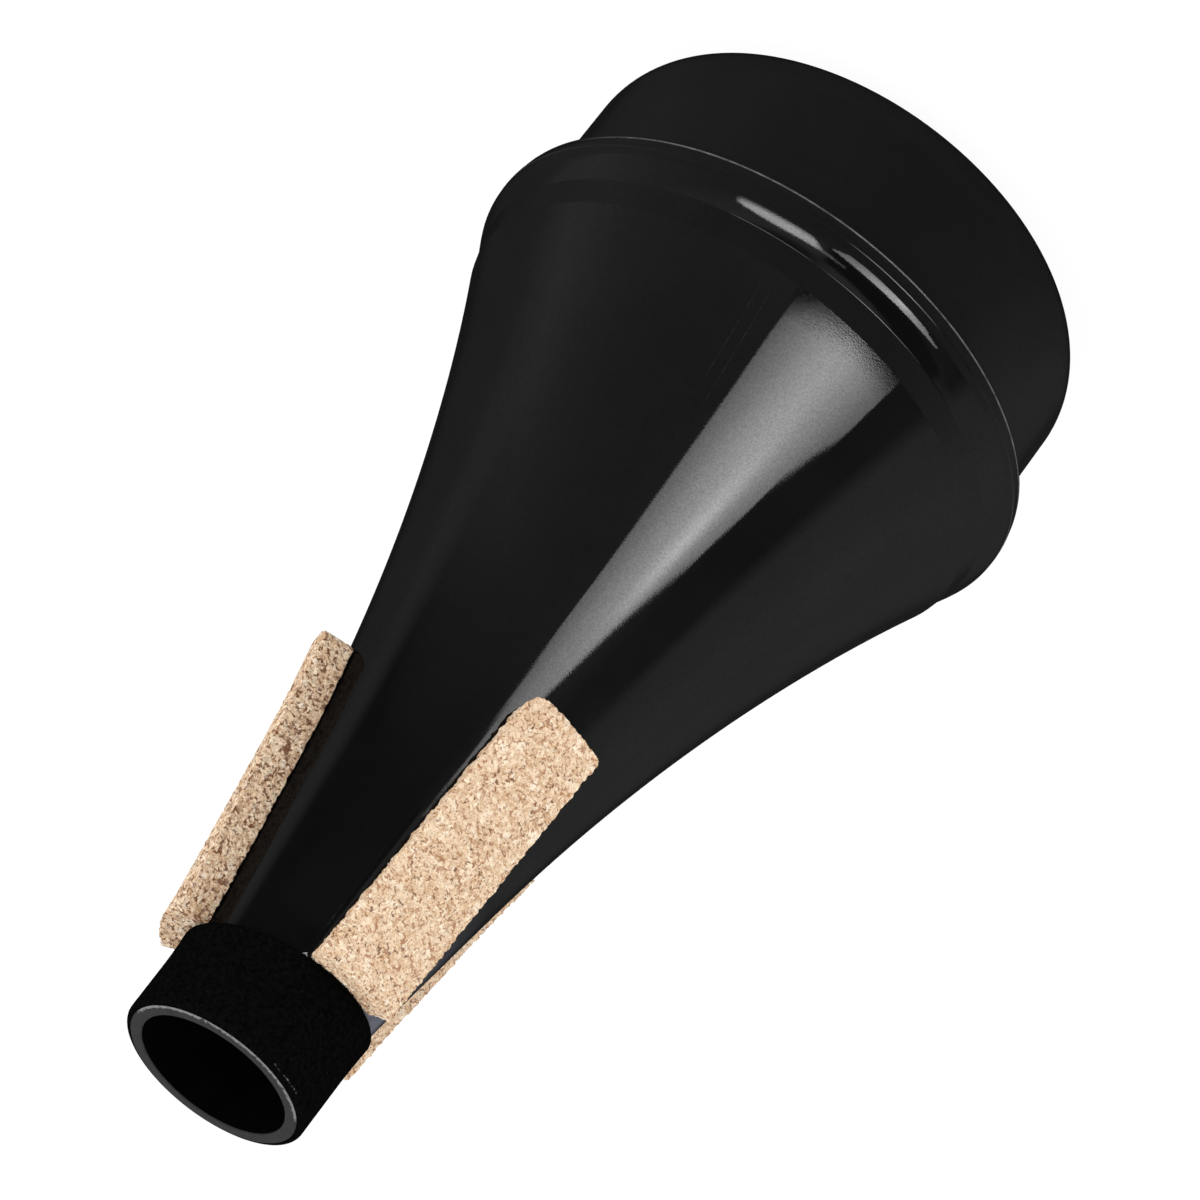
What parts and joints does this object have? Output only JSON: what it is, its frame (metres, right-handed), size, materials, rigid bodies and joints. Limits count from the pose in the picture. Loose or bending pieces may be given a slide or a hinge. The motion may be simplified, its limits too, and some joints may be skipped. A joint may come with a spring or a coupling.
{
  "type": "trumpet straight mute",
  "caption": "Flared hollow mute with an open neck, a rounded bead and a closed cup-shaped end cap, held in a trumpet bell by lengthwise cork strips below a matte neck sleeve.",
  "frame": {"origin": "centre of the closed end's flat rest face, on the mute's axis", "axes": "+Z runs along the mute's axis from the closed end to the open neck; -Y is the side that the picture shows most"},
  "size_m": [0.0932, 0.0932, 0.1784],
  "materials": {
    "gloss_plastic": "glossy moulded black plastic, with a grey sawn neck end",
    "cap_plastic": "glossy moulded black plastic",
    "matte_sleeve": "deep black matte sleeve",
    "cork": "agglomerated natural cork, cut and unsanded, coarse grain"
  },
  "bodies": {
    "root": {"body_shell": "gloss_plastic", "end_cap": "cap_plastic", "neck_band": "matte_sleeve", "cork_front": "cork", "cork_left": "cork", "cork_back": "cork"}
  },
  "joints": []
}
